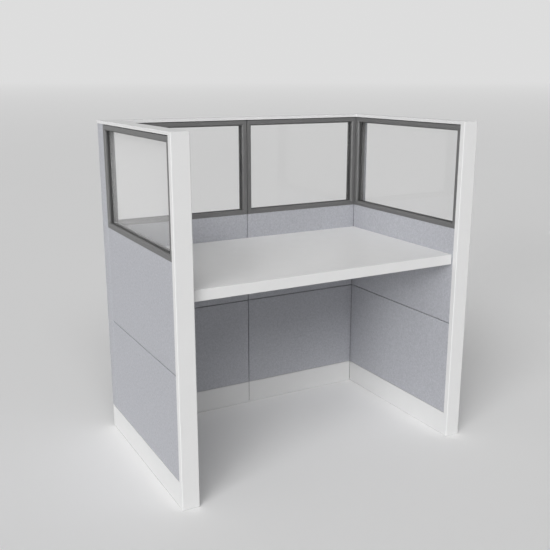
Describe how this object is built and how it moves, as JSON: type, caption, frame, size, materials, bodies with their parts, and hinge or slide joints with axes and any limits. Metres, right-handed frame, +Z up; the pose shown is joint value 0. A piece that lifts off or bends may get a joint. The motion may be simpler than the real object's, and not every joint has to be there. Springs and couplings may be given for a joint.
{
  "type": "office workstation",
  "caption": "Three-sided office workstation: fabric panels with glazed tops on hinged base raceways, white caps and end trims, and a straight worktop between the side walls.",
  "frame": {"origin": "on the floor under the middle of the workstation's plan", "axes": "+X to the user's right, +Y to the back wall, +Z up; the open side faces -Y"},
  "size_m": [1.219, 0.763, 1.266],
  "materials": {
    "panel_fabric": "plain lavender-grey weave on board",
    "window_frame_grey": "satin dark grey paint",
    "clear_glass": "clear",
    "white_trim": "satin white powder coat",
    "white_laminate": "matt white laminate on board",
    "white_edge": "matt white edge band",
    "gasket_rubber": "matt black",
    "frame_steel": "satin dark grey paint",
    "bracket_steel": "satin dark grey paint",
    "zinc_fasteners": "zinc plated",
    "zinc_feet": "zinc plated"
  },
  "bodies": {
    "workstation": {"left_panel_frame": "frame_steel", "left_inner_upper_tile": "panel_fabric", "left_inner_lower_tile": "panel_fabric", "left_outer_upper_tile": "panel_fabric", "left_outer_lower_tile": "panel_fabric", "left_window_frame": "window_frame_grey", "left_window_glass": "clear_glass", "left_top_cap": "white_trim", "right_panel_frame": "frame_steel", "right_inner_upper_tile": "panel_fabric", "right_inner_lower_tile": "panel_fabric", "right_outer_upper_tile": "panel_fabric", "right_outer_lower_tile": "panel_fabric", "right_window_frame": "window_frame_grey", "right_window_glass": "clear_glass", "right_top_cap": "white_trim", "back_left_panel_frame": "frame_steel", "back_left_inner_upper_tile": "panel_fabric", "back_left_inner_lower_tile": "panel_fabric", "back_left_outer_upper_tile": "panel_fabric", "back_left_outer_lower_tile": "panel_fabric", "back_left_window_frame": "window_frame_grey", "back_left_window_glass": "clear_glass", "back_left_top_cap": "white_trim", "back_right_panel_frame": "frame_steel", "back_right_inner_upper_tile": "panel_fabric", "back_right_inner_lower_tile": "panel_fabric", "back_right_outer_upper_tile": "panel_fabric", "back_right_outer_lower_tile": "panel_fabric", "back_right_window_frame": "window_frame_grey", "back_right_window_glass": "clear_glass", "back_right_top_cap": "white_trim", "glazing_gaskets": "gasket_rubber", "left_end_trim": "white_trim", "right_end_trim": "white_trim", "rear_left_end_cover": "panel_fabric", "rear_right_corner_cover": "panel_fabric", "rear_right_corner_post": "frame_steel", "worktop": "white_laminate", "worktop_edge_band": "white_edge", "worktop_cleats": "bracket_steel", "worktop_centre_bracket": "bracket_steel", "worktop_screws": "zinc_fasteners", "connector_bolts": "zinc_fasteners"},
    "left_inner_base_cover": {"left_inner_base_cover": "white_trim"},
    "left_outer_base_cover": {"left_outer_base_cover": "white_trim"},
    "right_inner_base_cover": {"right_inner_base_cover": "white_trim"},
    "right_outer_base_cover": {"right_outer_base_cover": "white_trim"},
    "back_left_inner_base_cover": {"back_left_inner_base_cover": "white_trim"},
    "back_left_outer_base_cover": {"back_left_outer_base_cover": "white_trim"},
    "back_right_inner_base_cover": {"back_right_inner_base_cover": "white_trim"},
    "back_right_outer_base_cover": {"back_right_outer_base_cover": "white_trim"},
    "left_panel_front_foot": {"left_panel_front_foot": "zinc_feet"},
    "left_panel_rear_foot": {"left_panel_rear_foot": "zinc_feet"},
    "right_panel_front_foot": {"right_panel_front_foot": "zinc_feet"},
    "right_panel_rear_foot": {"right_panel_rear_foot": "zinc_feet"},
    "back_left_panel_left_foot": {"back_left_panel_left_foot": "zinc_feet"},
    "back_left_panel_right_foot": {"back_left_panel_right_foot": "zinc_feet"},
    "back_right_panel_left_foot": {"back_right_panel_left_foot": "zinc_feet"},
    "back_right_panel_right_foot": {"back_right_panel_right_foot": "zinc_feet"}
  },
  "joints": [
    {"name": "left_inner_base_cover_hinge", "type": "hinge", "parent": "workstation", "child": "left_inner_base_cover", "pos_m": [-0.549, -0.02115, 0.0042], "axis": [0, 1, 0], "range_deg": [0, 60]},
    {"name": "left_outer_base_cover_hinge", "type": "hinge", "parent": "workstation", "child": "left_outer_base_cover", "pos_m": [-0.606, 0.01035, 0.0042], "axis": [0, -1, 0], "range_deg": [0, 60]},
    {"name": "right_inner_base_cover_hinge", "type": "hinge", "parent": "workstation", "child": "right_inner_base_cover", "pos_m": [0.549, -0.02115, 0.0042], "axis": [0, -1, 0], "range_deg": [0, 60]},
    {"name": "right_outer_base_cover_hinge", "type": "hinge", "parent": "workstation", "child": "right_outer_base_cover", "pos_m": [0.606, 0.01035, 0.0042], "axis": [0, 1, 0], "range_deg": [0, 60]},
    {"name": "back_left_inner_base_cover_hinge", "type": "hinge", "parent": "workstation", "child": "back_left_inner_base_cover", "pos_m": [-0.273, 0.321, 0.0042], "axis": [-1, 0, 0], "range_deg": [-60, 0]},
    {"name": "back_left_outer_base_cover_hinge", "type": "hinge", "parent": "workstation", "child": "back_left_outer_base_cover", "pos_m": [-0.303, 0.378, 0.0042], "axis": [1, 0, 0], "range_deg": [-60, 0]},
    {"name": "back_right_inner_base_cover_hinge", "type": "hinge", "parent": "workstation", "child": "back_right_inner_base_cover", "pos_m": [0.273, 0.321, 0.0042], "axis": [-1, 0, 0], "range_deg": [-60, 0]},
    {"name": "back_right_outer_base_cover_hinge", "type": "hinge", "parent": "workstation", "child": "back_right_outer_base_cover", "pos_m": [0.303, 0.378, 0.0042], "axis": [1, 0, 0], "range_deg": [-60, 0]},
    {"name": "left_panel_front_foot_thread", "type": "slide", "parent": "workstation", "child": "left_panel_front_foot", "axis": [0, 0, -1], "range_m": [0, 0.02]},
    {"name": "left_panel_rear_foot_thread", "type": "slide", "parent": "workstation", "child": "left_panel_rear_foot", "axis": [0, 0, -1], "range_m": [0, 0.02]},
    {"name": "right_panel_front_foot_thread", "type": "slide", "parent": "workstation", "child": "right_panel_front_foot", "axis": [0, 0, -1], "range_m": [0, 0.02]},
    {"name": "right_panel_rear_foot_thread", "type": "slide", "parent": "workstation", "child": "right_panel_rear_foot", "axis": [0, 0, -1], "range_m": [0, 0.02]},
    {"name": "back_left_panel_left_foot_thread", "type": "slide", "parent": "workstation", "child": "back_left_panel_left_foot", "axis": [0, 0, -1], "range_m": [0, 0.02]},
    {"name": "back_left_panel_right_foot_thread", "type": "slide", "parent": "workstation", "child": "back_left_panel_right_foot", "axis": [0, 0, -1], "range_m": [0, 0.02]},
    {"name": "back_right_panel_left_foot_thread", "type": "slide", "parent": "workstation", "child": "back_right_panel_left_foot", "axis": [0, 0, -1], "range_m": [0, 0.02]},
    {"name": "back_right_panel_right_foot_thread", "type": "slide", "parent": "workstation", "child": "back_right_panel_right_foot", "axis": [0, 0, -1], "range_m": [0, 0.02]}
  ]
}
